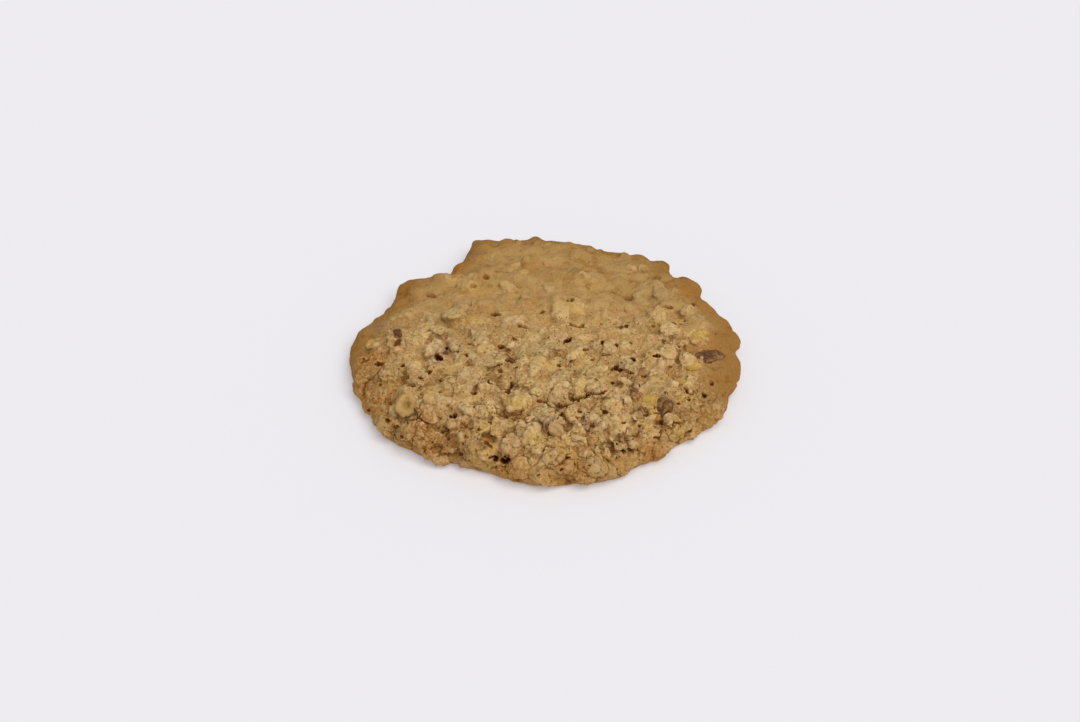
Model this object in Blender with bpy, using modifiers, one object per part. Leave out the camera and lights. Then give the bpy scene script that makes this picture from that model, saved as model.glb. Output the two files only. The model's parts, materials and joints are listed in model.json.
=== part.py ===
"""An oatmeal cookie about 91 mm across: one baked solid.

A turned blank gets an uneven edge, then clumps, pits and cracks, and last the rolled oats that
stand out of the dough, which one Boolean union fuses to it. +Z is up, +X is the right and -Y the
front of the cookie as it lies, and the origin is the middle of its flat underside.
"""

import math
import random

import bmesh
import bpy
from mathutils import Euler, Vector, noise
from mathutils.bvhtree import BVHTree

MM = 0.001

# The blank: a low dome with a rounded edge and a narrower foot.
EDGE_RADIUS = 44.3 * MM
CROWN_HEIGHT = 10.6 * MM
WIDEST_HEIGHT = 2.8 * MM
FOOT_INSET = 4.0 * MM
DOME_POWER = 3.2
DOME_STEPS = 28
FOOT_STEPS = 9
TURN_STEPS = 120
MERGE_WITHIN = 0.01 * MM

# How far the edge stands out or falls back: angle from +X, reach in mm, half width in degrees.
# The lobes fade towards the middle by this power of the way out.
EDGE_FADE_POWER = 3
EDGE_LOBES = (
    (10, 0.9, 11),
    (26, -1.5, 7),
    (35, 2.3, 6),
    (42, -1.9, 5),
    (50, 2.8, 7),
    (60, 0.9, 9),
    (69, -1.9, 9),
    (81, 0.8, 7),
    (90, 1.2, 9),
    (103, 2.6, 16),
    (111, 3.0, 7),
    (128, -7.2, 16),
    (156, -4.2, 16),
    (177, 0.7, 12),
    (195, 0.4, 14),
    (221, 1.4, 7),
    (242, -2.2, 11),
    (253, -2.2, 11),
    (275, 0.8, 9),
    (286, 1.3, 9),
    (300, -1.0, 8),
    (312, -1.6, 9),
    (320, -0.9, 7),
    (330, 0.9, 12),
    (350, 1.3, 16),
)

# Clumps of dough that stand out: place, radius and height, all in mm.
CLUMPS = (
    (-6.1, -15.9, 5.0, 0.7),
    (-20.4, -21.0, 4.4, 0.8),
    (-5.7, -41.0, 6.4, 1.1),
    (-5.8, -27.5, 3.6, 0.8),
    (-27.5, -31.0, 5.0, 0.9),
    (20.7, -35.0, 6.0, 0.9),
    (30.6, -22.3, 3.8, 0.8),
    (3.0, -36.5, 4.2, 0.8),
    (-25.9, 9.4, 5.5, 0.6),
)

# Nut pieces under the crust: place, radius and height, all in mm.
NUTS = (
    (25.7, -25.0, 2.6, 0.9),
    (22.2, -24.3, 2.4, 0.7),
    (22.8, -28.9, 2.2, 0.6),
    (35.2, -0.8, 4.0, 1.1),
    (38.2, -6.4, 2.6, 0.8),
    (32.6, -12.6, 2.2, 0.6),
    (-32.9, -1.6, 4.4, 0.9),
    (-38.9, -2.0, 2.2, 0.7),
    (-16.9, 3.3, 3.0, 0.6),
)

# Pits where steam broke through: place, radius and depth, all in mm.
PITS = (
    (-11.8, -18.3, 1.3, 2.2),
    (-7.6, -21.6, 1.2, 1.8),
    (-8.6, -39.6, 1.6, 3.0),
    (-11.8, -42.0, 1.3, 1.8),
    (-18.8, -37.9, 1.8, 1.4),
    (-19.8, -28.4, 1.1, 1.6),
    (-22.5, -17.2, 1.3, 1.4),
    (-26.1, -13.9, 1.4, 1.4),
    (-15.1, -26.4, 1.3, 1.4),
    (31.4, -29.4, 1.3, 1.4),
    (12.7, -27.9, 1.2, 1.3),
    (15.5, -14.2, 2.0, 1.3),
    (21.4, -15.6, 1.2, 1.5),
    (-11.5, 6.7, 1.2, 1.4),
    (-15.2, 14.0, 2.8, 0.7),
)

# Cracks between clumps: half width and depth in mm, then the places that they run through.
CRACKS = (
    (0.9, 1.5, ((-1.8, -25.6), (2.4, -27.1), (4.4, -25.8), (9.0, -22.9), (13.3, -21.2))),
    (1.0, 1.4, ((-37.6, -11.8), (-40.2, -13.2), (-39.9, -17.5))),
    (1.2, 1.4, ((-34.4, -24.0), (-31.6, -28.4), (-27.4, -26.4))),
    (0.9, 1.4, ((17.2, -33.6), (17.1, -37.0), (17.9, -38.6))),
    (1.4, 0.7, ((8.0, 30.8), (13.8, 24.6))),
)

# The curled clump near the front: a ring of dough round an amber hollow.
CURL_PLACE = (-12.4, -36.3)
CURL_RADIUS = 2.8
CURL_WALL = 1.5
CURL_HEIGHT = 1.3
CURL_DEPTH = 1.6
CURL_HOLE_RADIUS = 2.0

# The uneven skin all over the dough: rounded cells of two sizes, whose borders wander. A point is
# on average this share of the spacing away from the nearest cell's middle.
MEAN_CELL_DISTANCE = 0.45
CLUMP_SPACING = 6.8 * MM
CLUMP_RISE = 1.2 * MM
LUMP_SPACING = 3.2 * MM
LUMP_RISE = 0.6 * MM
WANDER = 1.5 * MM
WANDER_SPACING = 5.4 * MM
FOOT_RELIEF_FROM = 0.4 * MM
FOOT_RELIEF_TO = 2.0 * MM
SKIN_VOXEL = 0.85 * MM
SKIN_TRIANGLES = 5200
FLAT_WITHIN = 0.3 * MM

# Rolled oats: the round one at the front left, then the rest on a spiral.
ROUND_OAT = (-29.8, -24.1)
ROUND_OAT_SPIN = math.radians(50)
ROUND_OAT_TILT = (math.radians(9), 0.0)
ROUND_OAT_SIZE = (6.0 * MM, 5.4 * MM, 3.0 * MM)
OAT_COUNT = 118
OAT_LENGTH = (4.6 * MM, 7.8 * MM)
OAT_WIDTH_SHARE = (0.66, 0.9)
OAT_THICKNESS = 2.6 * MM
OAT_SIDES = 7
OAT_RINGS = 4
OAT_PROUD = (0.5 * MM, 1.0 * MM)
OAT_TILT = math.radians(16)
OAT_REACH_SHARE = 0.97
OAT_UPRIGHT_SHARE = 0.4
OAT_WANDER = 1.6 * MM
OATS_CLEAR_OF_HOLLOWS = 3.2 * MM
GOLDEN_ANGLE = math.radians(137.508)
SEED = 11

CRUST_COLOR = (0.37, 0.21, 0.08, 1.0)
CRUST_ROUGHNESS = 0.85
SHARP_ANGLE = math.radians(50)


def clear_scene():
    for existing in list(bpy.data.objects):
        bpy.data.objects.remove(existing)


def baked_crust():
    material = bpy.data.materials.new("Baked oat crust")
    material.use_nodes = True
    shader = material.node_tree.nodes["Principled BSDF"]
    shader.inputs["Base Color"].default_value = CRUST_COLOR
    shader.inputs["Roughness"].default_value = CRUST_ROUGHNESS
    shader.inputs["Metallic"].default_value = 0.0
    return material


def raised_cosine(distance, half_width):
    if abs(distance) >= half_width:
        return 0.0
    return 0.5 * (1 + math.cos(math.pi * distance / half_width))


def edge_scale(angle):
    """The edge's radius at this angle, as a share of EDGE_RADIUS."""
    reach = 0.0
    for lobe_degrees, lobe_reach, half_width in EDGE_LOBES:
        away = (math.degrees(angle) - lobe_degrees + 180) % 360 - 180
        reach += lobe_reach * MM * raised_cosine(away, half_width)
    return 1 + reach / EDGE_RADIUS


def dome_height(share):
    """The dome's height at this share of the way out to the edge."""
    rise = (1 - min(share, 1.0) ** DOME_POWER) ** 0.5
    return WIDEST_HEIGHT + (CROWN_HEIGHT - WIDEST_HEIGHT) * rise


def blank_profile():
    """The blank's half section, from the crown out, down to the foot and in to the axis."""
    points = []
    for step in range(DOME_STEPS):
        share = math.sin(math.pi / 2 * step / DOME_STEPS)
        points.append(Vector((EDGE_RADIUS * share, 0, dome_height(share))))
    for step in range(FOOT_STEPS + 1):
        turn = math.pi / 2 * step / FOOT_STEPS
        inset = FOOT_INSET * (1 - math.cos(turn))
        points.append(Vector((EDGE_RADIUS - inset, 0, WIDEST_HEIGHT * (1 - math.sin(turn)))))
    points.append(Vector((0, 0, 0)))
    return points


def turned_blank():
    """The dome as a lathe would turn it, before its edge and skin are shaped."""
    points = blank_profile()
    mesh = bpy.data.meshes.new("Blank profile")
    edges = [(i, i + 1) for i in range(len(points) - 1)]
    mesh.from_pydata(points, edges, [])
    blank = bpy.data.objects.new("oatmeal_cookie", mesh)
    bpy.context.scene.collection.objects.link(blank)
    screw = blank.modifiers.new("Turn", "SCREW")
    screw.steps = screw.render_steps = TURN_STEPS
    screw.use_merge_vertices = True
    screw.merge_threshold = MERGE_WITHIN
    return blank


def baked_mesh(body):
    """Replaces the body's mesh by what its modifiers make of it."""
    graph = bpy.context.evaluated_depsgraph_get()
    mesh = bpy.data.meshes.new_from_object(body.evaluated_get(graph))
    body.modifiers.clear()
    body.data = mesh
    return mesh


def spread_edge(mesh):
    """Moves the edge in and out by its lobes, less and less towards the middle."""
    for vertex in mesh.vertices:
        radius = math.hypot(vertex.co.x, vertex.co.y)
        if radius < MM:
            continue
        share = min(radius / EDGE_RADIUS, 1.0)
        full_scale = edge_scale(math.atan2(vertex.co.y, vertex.co.x))
        scale = 1 + (full_scale - 1) * share**EDGE_FADE_POWER
        vertex.co.x *= scale
        vertex.co.y *= scale


def distance_to_run(place, run):
    """How far a place is from a line through the places of a run, in plan."""
    nearest = math.inf
    for start, end in zip(run, run[1:]):
        start, end = Vector(start) * MM, Vector(end) * MM
        along = end - start
        share = max(0.0, min(1.0, (place - start).dot(along) / along.length_squared))
        nearest = min(nearest, (place - start - along * share).length)
    return nearest


def skin_rise(point):
    """The clumps and lumps that cover the dough all over."""
    wander = noise.noise_vector(point / WANDER_SPACING) * WANDER
    clump = noise.voronoi((point + wander) / CLUMP_SPACING)[0][0]
    lump = noise.voronoi((point + wander / 2) / LUMP_SPACING)[0][0]
    return CLUMP_RISE * (MEAN_CELL_DISTANCE - clump) + LUMP_RISE * (MEAN_CELL_DISTANCE - lump)


def landmark_rise(place):
    """What the named clumps, nuts, pits, cracks and curl add to the surface here."""
    rise = 0.0
    for x, y, radius, height in CLUMPS + NUTS:
        away = (place - Vector((x, y)) * MM).length / (radius * MM)
        if away < 1:
            rise = max(rise, height * MM * math.sqrt(1 - away * away))
    curl = (place - Vector(CURL_PLACE) * MM).length / MM
    if curl < CURL_RADIUS + CURL_WALL:
        rise = max(rise, CURL_HEIGHT * MM * raised_cosine(curl - CURL_RADIUS, CURL_WALL))
        rise -= CURL_DEPTH * MM * raised_cosine(curl, CURL_HOLE_RADIUS)
    for x, y, radius, depth in PITS:
        away = (place - Vector((x, y)) * MM).length / MM
        rise -= depth * MM * raised_cosine(away, radius)
    for half_width, depth, run in CRACKS:
        rise -= depth * MM * raised_cosine(distance_to_run(place, run) / MM, half_width)
    return rise


def raise_skin(mesh):
    """Pushes the skin out and in along its normals, and leaves the foot flat."""
    noise.seed_set(SEED)
    moved = []
    for vertex in mesh.vertices:
        place = vertex.co.to_2d()
        above_foot = (vertex.co.z - FOOT_RELIEF_FROM) / (FOOT_RELIEF_TO - FOOT_RELIEF_FROM)
        weight = max(0.0, min(1.0, above_foot))
        rise = skin_rise(vertex.co)
        if vertex.normal.z > 0:
            rise += landmark_rise(place)
        moved.append(vertex.co + vertex.normal * rise * weight)
    for vertex, place in zip(mesh.vertices, moved):
        vertex.co = place


def flatten_foot(mesh):
    """Puts the underside's low points on one plane."""
    for vertex in mesh.vertices:
        if vertex.co.z < FLAT_WITHIN:
            vertex.co.z = 0.0


def rough_dough():
    """The cookie without its oats."""
    body = turned_blank()
    spread_edge(baked_mesh(body))
    remesh = body.modifiers.new("Even skin", "REMESH")
    remesh.mode = "VOXEL"
    remesh.voxel_size = SKIN_VOXEL
    mesh = baked_mesh(body)
    flatten_foot(mesh)
    raise_skin(mesh)
    mesh.calc_loop_triangles()
    thin = body.modifiers.new("Fewer faces", "DECIMATE")
    thin.ratio = SKIN_TRIANGLES / len(mesh.loop_triangles)
    flatten_foot(baked_mesh(body))
    return body


def oat_places(dice):
    """Where the oats lie, in plan: a spiral of even spacing that wanders, off the hollows."""
    hollows = [Vector((x, y)) * MM for x, y, radius, depth in PITS]
    hollows += [Vector(CURL_PLACE) * MM, Vector(ROUND_OAT) * MM]
    places = []
    for index in range(OAT_COUNT):
        share = math.sqrt((index + 0.5) / OAT_COUNT) * OAT_REACH_SHARE
        angle = index * GOLDEN_ANGLE
        radius = EDGE_RADIUS * edge_scale(angle) * share
        place = Vector((radius * math.cos(angle), radius * math.sin(angle)))
        place += Vector((dice.uniform(-1, 1), dice.uniform(-1, 1))) * OAT_WANDER
        if all((place - hollow).length > OATS_CLEAR_OF_HOLLOWS for hollow in hollows):
            places.append(place)
    return places


def oat_flake(name, size, collection):
    """One rolled oat under its coat of dough, as a flattened oval lens."""
    made = bmesh.new()
    bmesh.ops.create_uvsphere(made, u_segments=OAT_SIDES, v_segments=OAT_RINGS, radius=0.5)
    bmesh.ops.scale(made, vec=size, verts=made.verts)
    mesh = bpy.data.meshes.new(name)
    made.to_mesh(mesh)
    made.free()
    flake = bpy.data.objects.new(name, mesh)
    collection.objects.link(flake)
    return flake


def lay_on_skin(flake, skin, place, proud, spin, tilt):
    """Lays a flake on the skin at a place, standing proud of it by this much."""
    up = Vector((0, 0, 1))
    hit, normal, _, _ = skin.ray_cast(place.to_3d() + up, -up)
    lean = up.rotation_difference(normal.lerp(up, OAT_UPRIGHT_SHARE))
    turn = lean.to_matrix() @ Euler((*tilt, spin)).to_matrix()
    flake.rotation_euler = turn.to_euler()
    thickness = flake.dimensions.z
    flake.location = hit + turn @ Vector((0, 0, proud - thickness / 2))


def scattered_oats(body):
    """The oats, as separate objects in a collection of their own."""
    collection = bpy.data.collections.new("Oats to fuse")
    bpy.context.scene.collection.children.link(collection)
    skin = BVHTree.FromObject(body, bpy.context.evaluated_depsgraph_get())
    dice = random.Random(SEED)
    round_oat = oat_flake("Round oat", ROUND_OAT_SIZE, collection)
    round_place = Vector(ROUND_OAT) * MM
    lay_on_skin(round_oat, skin, round_place, max(OAT_PROUD), ROUND_OAT_SPIN, ROUND_OAT_TILT)
    for index, place in enumerate(oat_places(dice)):
        length = dice.uniform(*OAT_LENGTH)
        size = (length, length * dice.uniform(*OAT_WIDTH_SHARE), OAT_THICKNESS)
        flake = oat_flake(f"Oat {index}", size, collection)
        tilt = (dice.uniform(-OAT_TILT, OAT_TILT), dice.uniform(-OAT_TILT, OAT_TILT))
        spin = dice.uniform(0, math.pi)
        lay_on_skin(flake, skin, place, dice.uniform(*OAT_PROUD), spin, tilt)
    bpy.context.view_layer.update()
    return collection


def fuse(body, collection):
    """Joins every object of the collection to the body and removes them."""
    union = body.modifiers.new("Fuse oats", "BOOLEAN")
    union.operation = "UNION"
    union.operand_type = "COLLECTION"
    union.collection = collection
    union.solver = "MANIFOLD"
    baked_mesh(body)
    for flake in list(collection.objects):
        bpy.data.objects.remove(flake)
    bpy.data.collections.remove(collection)


def keep_largest_piece(mesh):
    """Fills a hollow that the union sealed and drops a loose scrap: only the largest piece stays."""
    made = bmesh.new()
    made.from_mesh(mesh)
    left = set(made.verts)
    pieces = []
    while left:
        piece = [left.pop()]
        for vertex in piece:
            around = {edge.other_vert(vertex) for edge in vertex.link_edges} & left
            left -= around
            piece.extend(around)
        pieces.append(piece)
    pieces.sort(key=len)
    for piece in pieces[:-1]:
        bmesh.ops.delete(made, geom=piece, context="VERTS")
    made.to_mesh(mesh)
    made.free()


def centre_on_foot(mesh):
    """Puts the origin under the middle of the cookie's box, on its flat underside."""
    xs = [vertex.co.x for vertex in mesh.vertices]
    ys = [vertex.co.y for vertex in mesh.vertices]
    middle = Vector(((min(xs) + max(xs)) / 2, (min(ys) + max(ys)) / 2, 0))
    for vertex in mesh.vertices:
        vertex.co -= middle


def oatmeal_cookie():
    body = rough_dough()
    fuse(body, scattered_oats(body))
    keep_largest_piece(body.data)
    centre_on_foot(body.data)
    body.data.shade_smooth()
    body.data.set_sharp_from_angle(angle=SHARP_ANGLE)
    body.data.materials.clear()
    body.data.materials.append(baked_crust())
    home = bpy.data.collections.new("Oatmeal cookie")
    bpy.context.scene.collection.children.link(home)
    bpy.context.scene.collection.objects.unlink(body)
    home.objects.link(body)
    return body


def main():
    clear_scene()
    oatmeal_cookie()


if __name__ == "__main__":
    main()
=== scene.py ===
"""The looks of an oatmeal cookie about 91 mm across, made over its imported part.

The dough starts as a copy of the part's own mesh. Oats that lie under the crust are scattered over
it and melted into one skin, which then gets its crumb, its pits and its cracks. Bare oats, nut
pieces and crumbs lie on that skin as pieces of their own. Places are in millimetres from the
middle of the flat underside: +X is the right, -Y the front and +Z up.
"""

import json
import math
import random

import bmesh
import bpy
import numpy as np
from bpy.props import FloatProperty, FloatVectorProperty, IntProperty, PointerProperty
from bpy.types import NodeSocket, Operator, Panel, PropertyGroup
from mathutils import Euler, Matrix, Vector, noise
from mathutils.bvhtree import BVHTree

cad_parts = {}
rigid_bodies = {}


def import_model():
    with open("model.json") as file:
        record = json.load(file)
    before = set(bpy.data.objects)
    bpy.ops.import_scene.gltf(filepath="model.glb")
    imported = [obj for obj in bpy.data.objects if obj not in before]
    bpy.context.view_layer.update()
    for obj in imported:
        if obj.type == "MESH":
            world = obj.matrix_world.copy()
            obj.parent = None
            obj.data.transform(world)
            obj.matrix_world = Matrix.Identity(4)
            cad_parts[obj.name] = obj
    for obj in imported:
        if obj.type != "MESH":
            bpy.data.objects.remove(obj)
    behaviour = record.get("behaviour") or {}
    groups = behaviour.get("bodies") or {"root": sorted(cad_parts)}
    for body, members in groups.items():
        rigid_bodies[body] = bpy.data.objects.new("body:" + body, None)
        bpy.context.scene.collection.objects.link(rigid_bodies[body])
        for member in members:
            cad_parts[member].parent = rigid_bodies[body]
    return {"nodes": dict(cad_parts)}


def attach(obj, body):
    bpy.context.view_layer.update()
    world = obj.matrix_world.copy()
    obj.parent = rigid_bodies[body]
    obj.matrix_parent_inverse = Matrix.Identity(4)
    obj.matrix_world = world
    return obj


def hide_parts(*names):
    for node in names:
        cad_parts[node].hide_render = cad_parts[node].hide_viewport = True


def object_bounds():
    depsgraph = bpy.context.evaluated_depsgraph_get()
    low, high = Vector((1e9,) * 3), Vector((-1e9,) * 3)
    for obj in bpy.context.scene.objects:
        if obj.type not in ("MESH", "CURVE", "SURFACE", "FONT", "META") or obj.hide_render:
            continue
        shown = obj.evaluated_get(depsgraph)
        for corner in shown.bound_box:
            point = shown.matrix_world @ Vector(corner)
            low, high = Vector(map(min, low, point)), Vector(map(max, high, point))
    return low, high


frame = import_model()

bl_info = {
    "name": "Oatmeal cookie",
    "version": (1, 0, 0),
    "blender": (4, 5, 0),
    "location": "3D View > Sidebar > Cookie",
    "description": "Makes a baked oatmeal cookie: dough, oats, nut pieces, crumbs and stage",
    "category": "Add Mesh",
}

MM = 0.001
NODE = "oatmeal_cookie"
CAD_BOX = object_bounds()
SEED = 7
# Each further scatter's seed is this much higher than the last one's.
NEXT_SEED = 20
# How far down the photo's camera looks.
VIEW_TILT = math.radians(37.2)
# The most triangles of the dough, and a count of points that only its main shell reaches.
MOST_TRIANGLES = 192000
SHELL_POINTS = 20000
# In millimetres: the grids that the skin and the dough are melted on, a height well above the
# cookie, and the depth from which a pit is dark all through.
SKIN_VOXEL = 0.5
DOUGH_VOXEL = 0.22
ABOVE = 30
# The dark of a pit is painted shade.
DARK_DEPTH = 1.9
# How many sectors the cookie's edge is measured in.
SECTORS = 120

# Pits where steam broke through: x, y, half length, half width, turn in degrees, depth.
PITS = (
    (-12.0, -18.7, 1.3, 0.55, -58, 2.2), (-8.4, -22.6, 0.7, 0.45, 40, 2.0),
    (-7.4, -20.9, 0.55, 0.4, 60, 1.4), (-10.4, -14.9, 0.6, 0.4, 20, 1.3),
    (-8.1, -13.3, 0.9, 0.4, -25, 1.3), (-19.9, -28.6, 0.75, 0.6, 0, 1.8),
    (-22.6, -17.6, 1.0, 0.45, 10, 1.6), (-26.2, -14.4, 0.9, 0.5, 20, 1.5),
    (-23.9, -10.6, 1.2, 0.6, -60, 1.8), (-31.8, -12.8, 0.6, 0.35, 0, 1.0),
    (-37.4, -10.4, 0.8, 0.7, 0, 1.1), (-29.9, -16.2, 0.45, 0.35, 0, 1.0),
    (-27.6, -18.3, 0.6, 0.35, -30, 1.0), (-29.8, -19.5, 0.9, 0.5, 0, 0.9),
    (-15.8, -23.3, 0.7, 0.4, 0, 1.0), (-15.3, -26.6, 0.9, 0.6, -30, 1.4),
    (-22.2, -33.1, 0.35, 0.5, 0, 1.0), (-8.7, -39.7, 0.75, 1.3, -10, 2.0),
    (-11.2, -40.6, 0.9, 0.8, 20, 2.2), (-32.6, -29.6, 0.6, 0.5, 30, 1.0),
    (-9.0, -36.6, 0.4, 0.4, 0, 1.0), (1.2, -34.2, 1.0, 0.6, 30, 0.7),
    (12.4, -28.2, 0.7, 0.5, -40, 1.2), (13.1, -11.1, 0.8, 0.35, 0, 1.2),
    (19.1, -11.7, 0.5, 0.5, 0, 1.5), (24.2, -11.5, 0.75, 0.45, 10, 1.5),
    (27.6, -9.2, 0.5, 0.7, 0, 1.2), (14.9, -14.0, 1.0, 0.5, 40, 1.1),
    (16.0, -15.3, 0.6, 0.45, 0, 1.7), (18.2, -16.6, 0.8, 0.35, -20, 1.3),
    (21.2, -16.0, 0.5, 0.35, -25, 1.4), (21.1, -30.3, 0.6, 0.45, 0, 1.3),
    (24.3, -29.8, 0.6, 0.45, 0, 1.3), (27.8, -28.9, 0.8, 0.4, -10, 0.9),
    (30.6, -29.0, 0.7, 0.5, 20, 1.5), (34.4, -21.4, 0.45, 0.9, 0, 1.4),
    (36.2, -17.2, 0.45, 0.45, 0, 1.1), (16.0, -39.5, 0.4, 0.7, 10, 1.3),
    (24.3, -33.1, 0.6, 0.3, 50, 1.0), (9.6, -33.4, 0.35, 0.8, 0, 1.1),
    (28.8, 2.4, 0.55, 0.7, 0, 1.4), (26.4, -4.5, 0.5, 0.5, 0, 1.0),
    (34.0, 11.8, 0.4, 0.9, 0, 0.9), (-33.3, -4.8, 0.7, 1.3, -25, 0.8),
    (-26.4, -0.5, 0.8, 0.45, 30, 0.8), (-11.6, 5.7, 1.1, 0.6, 0, 1.3),
    (-10.2, -7.6, 0.6, 0.55, 0, 1.4), (-17.8, -10.2, 0.5, 0.4, 0, 1.0),
    (-17.4, -6.0, 0.4, 0.4, 0, 0.9), (4.6, -5.6, 1.1, 0.5, 50, 1.8),
    (12.6, -6.8, 0.7, 0.5, 60, 1.6), (8.6, -8.7, 0.55, 0.45, 0, 1.4),
    (17.2, 0.0, 1.3, 0.5, 10, 1.4), (5.5, 9.9, 0.9, 0.6, 30, 0.9),
    (-14.2, 19.7, 0.7, 1.0, 10, 1.0), (-17.0, 17.2, 0.7, 0.6, 0, 0.8),
    (-26.9, 14.2, 1.4, 0.8, -30, 0.8), (19.0, 12.4, 1.2, 0.8, 0, 0.7),
    (28.0, 9.0, 1.2, 0.6, -10, 0.9), (-1.0, 5.8, 0.6, 0.5, 20, 1.1),
)

# Cracks between clumps: half width, depth, then the places that they run through.
CRACKS = (
    (0.32, 1.2, ((-1.5, -26.1), (0.3, -26.3), (2.4, -27.3), (3.9, -26.1), (8.5, -23.3), (12.8, -21.6))),
    (0.3, 0.7, ((-40.3, -16.4), (-40.2, -13.3), (-37.8, -12.6), (-36.6, -13.0))),
    (0.3, 0.6, ((-41.2, -8.2), (-39.8, -7.9))),
    (0.32, 1.1, ((-29.6, -30.6), (-28.0, -30.0), (-26.6, -28.4))),
    (0.3, 1.0, ((-10.6, -30.2), (-8.8, -30.8), (-6.4, -30.6), (-4.9, -29.6))),
    (0.28, 1.0, ((-9.3, -22.7), (-7.7, -22.0), (-7.6, -20.4))),
    (0.3, 1.0, ((-9.0, -9.6), (-8.2, -11.6), (-7.4, -12.9))),
    (0.3, 1.1, ((29.9, -19.8), (30.5, -20.8), (31.8, -20.7))),
    (0.2, 0.6, ((17.2, -33.0), (16.6, -35.2), (17.6, -38.0))),
    (0.2, 0.5, ((9.4, -32.2), (8.9, -34.6), (8.0, -35.8), (8.6, -38.6))),
    (0.3, 0.9, ((-6.9, 1.4), (-5.8, 0.1), (-4.4, -0.6))),
    (0.35, 0.9, ((5.4, 0.9), (6.9, 0.2), (8.6, 0.8))),
    (0.6, 0.35, ((7.4, 29.2), (10.4, 26.0), (13.4, 22.8))),
    (0.5, 0.3, ((14.0, 22.6), (18.4, 23.4), (22.4, 23.8))),
    (0.25, 0.5, ((1.0, -43.2), (3.6, -41.6), (6.4, -41.4))),
    (0.3, 0.9, ((24.6, -33.6), (22.9, -35.2))),
    (0.22, 0.5, ((-1.8, -43.6), (-0.8, -42.9), (1.4, -42.6))),
    (0.25, 0.4, ((-16.4, -40.0), (-15.4, -40.8), (-13.6, -41.4))),
)

# Relief of the crust: folds, domes for the clumps and plain unevenness for the crumb. Each has its
# size in mm, its height against the relief's and how fast it fades where the crust is smooth.
FOLDS = ((7.5, 5.0, 0.5),)
DOMES = ((5.0, 2.7, 1.2), (2.3, 0.8, 1.2))
CRUMB = ((1.4, 0.6, 1.2), (0.7, 0.8, 1.5))

# The curled clump near the front: a knob of dough, written as an oat, the slot in it, written as a
# pit, and how far the knob's middle sinks.
CURL_KNOB = (-12.8, -37.4, 7.6, 6.8, 3.0, 20)
CURL_SLOT = (-12.2, -36.9, 1.2, 0.42, -60, 0.9)
CURL_DENT = 0.06

# Stains in the crust: x, y and radius.
STAINS = {
    "purple": (
        (-7.2, -21.9, 1.5), (-23.0, -9.0, 2.6), (-32.6, -5.2, 2.6), (-33.4, 0.6, 3.0),
        (-8.4, -12.6, 1.5), (-9.3, -38.6, 1.3), (-13.9, -38.3, 1.5), (16.0, -14.7, 1.9),
        (37.0, -7.2, 2.6), (25.3, -25.2, 2.4), (18.7, -22.4, 1.8), (8.8, -34.3, 1.7),
        (0.2, -34.2, 2.6), (-18.6, -39.2, 2.2), (-24.6, -12.6, 2.0), (-17.7, 32.9, 2.6),
        (-38.4, 4.2, 2.4), (20.6, -29.0, 1.5),
    ),
    "amber": (
        (-12.3, -37.0, 1.2), (18.9, -24.3, 1.5), (22.7, -28.9, 1.8), (28.2, -27.8, 1.8),
        (-26.5, -34.0, 5.0), (-41.0, -18.0, 3.6), (-8.0, -43.0, 4.0), (-19.5, -34.6, 4.2),
        (5.5, -44.5, 4.5), (23.0, -37.0, 3.5), (-38.6, -8.4, 3.0), (35.6, -4.0, 4.6),
        (-32.3, 19.8, 3.2), (-22.6, 27.0, 3.4), (34.0, 18.6, 3.4), (-36.0, -22.0, 3.6),
    ),
    "yellow": (
        (-39.8, -3.1, 2.4), (-16.9, 2.4, 2.4), (-6.2, -27.4, 2.8), (-1.4, -20.2, 2.2),
        (-2.2, -38.2, 3.0), (-12.8, -37.2, 4.4), (-16.0, -34.6, 1.8), (22.1, -25.0, 1.9),
        (32.2, -13.3, 2.0), (30.2, -18.2, 1.8), (30.4, -22.7, 3.0), (28.4, -30.4, 2.4),
        (4.2, -40.6, 2.4), (11.4, -38.6, 2.2), (34.3, -1.5, 2.8), (-30.4, -24.8, 3.0),
        (-37.0, -16.8, 2.0),
    ),
    "grey": (
        (-6.8, -35.4, 3.2), (-37.5, -24.5, 3.0), (38.5, -19.0, 3.6), (30.0, -27.0, 2.2),
        (11.5, -31.0, 3.6), (-2.6, -9.0, 5.0), (-24.0, 4.6, 4.6), (8.6, -17.6, 4.6),
        (24.0, 14.0, 5.0),
    ),
}

# Nut pieces: x, y, length, width, thickness, how far they stand out, spin in degrees, and how much
# of each is skin.
NUTS = (
    (25.5, -25.6, 5.6, 4.6, 3.0, 0.35, 70, 1.4), (22.0, -24.9, 3.6, 2.8, 2.4, 0.55, 20, 0.05),
    (18.8, -24.3, 2.4, 2.0, 2.0, 0.25, 80, 0.6), (22.7, -28.8, 2.8, 2.2, 2.0, 0.35, 10, 0.5),
    (36.3, -7.4, 7.0, 4.4, 2.0, 0.12, 10, 1.5), (34.4, -1.6, 4.4, 3.4, 2.6, 0.6, 20, 0.0),
    (32.2, -13.3, 3.4, 2.6, 2.0, 0.5, 10, 0.05), (30.2, -18.1, 3.0, 1.8, 1.6, 0.4, 160, 0.05),
    (-33.4, -2.0, 3.4, 2.0, 2.0, 0.4, 100, 0.95), (-32.4, -5.8, 2.4, 1.8, 1.8, 0.35, 60, 0.9),
    (-39.7, -3.0, 3.0, 2.2, 1.8, 0.45, 60, 0.1), (-16.9, 2.4, 3.4, 2.4, 1.8, 0.35, 0, 0.05),
    (-22.6, -9.0, 2.2, 1.4, 1.4, 0.3, 40, 0.85),
)

# How thick the oats and clumps of the next two tables are below what stands out of the crust.
OAT_THICKNESS = 1.8

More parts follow.
